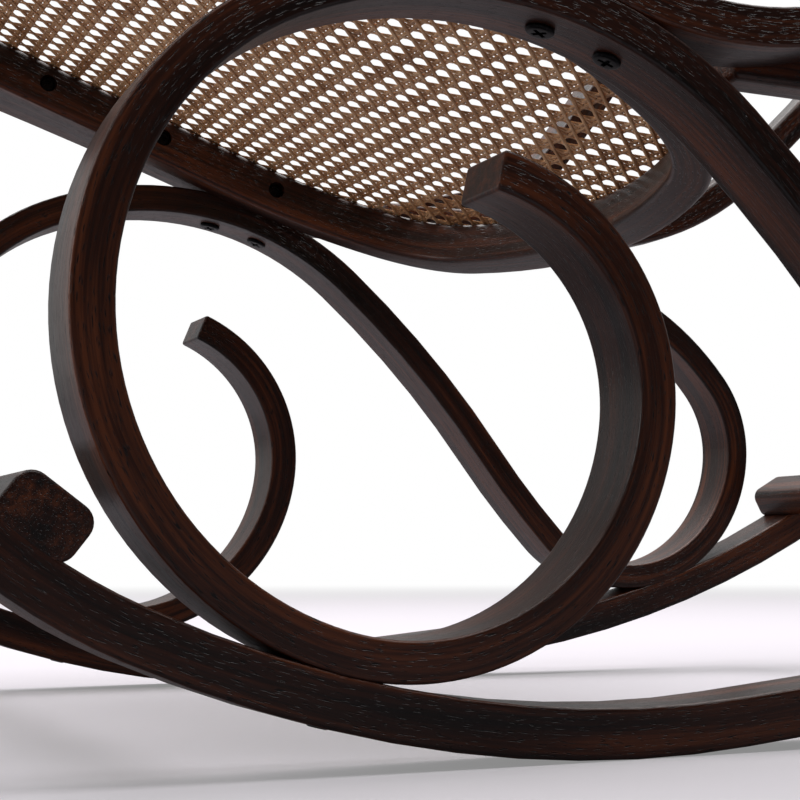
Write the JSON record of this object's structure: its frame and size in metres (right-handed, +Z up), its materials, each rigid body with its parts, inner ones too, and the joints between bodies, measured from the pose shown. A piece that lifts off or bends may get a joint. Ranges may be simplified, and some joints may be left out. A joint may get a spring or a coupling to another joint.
{
  "type": "rocking chair",
  "caption": "Bentwood rocking chair: bent runners and S-shaped scrolls carry looped arms, a round-cornered ring seat and an arched reclined back, both filled with woven cane.",
  "frame": {"origin": "floor point under the middle of the chair's outline, where a level floor touches the runners' lowest line", "axes": "+Z up, -Y to the front of the chair, +X to the sitter's left"},
  "size_m": [0.4836, 1.0024, 0.9158],
  "materials": {
    "dark_beech": "dark stain under satin lacquer",
    "cane": "woven rattan cane, bare",
    "spline_reed": "stained reed",
    "black_screw": "black oxide"
  },
  "bodies": {
    "root": {"left_runner": "dark_beech", "right_runner": "dark_beech", "left_scroll": "dark_beech", "right_scroll": "dark_beech", "left_arm_loop": "dark_beech", "right_arm_loop": "dark_beech", "front_crossbar": "dark_beech", "rear_crossbar": "dark_beech", "seat_ring": "dark_beech", "seat_cane": "cane", "seat_cane_spline": "spline_reed", "back_hoop": "dark_beech", "back_rail": "dark_beech", "back_cane": "cane", "back_cane_spline": "spline_reed", "seat_side_screws": "black_screw", "stile_screws": "black_screw", "scroll_screws": "black_screw", "scroll_foot_screws": "black_screw", "crossbar_screws": "black_screw", "branch_screws": "black_screw"}
  },
  "joints": []
}
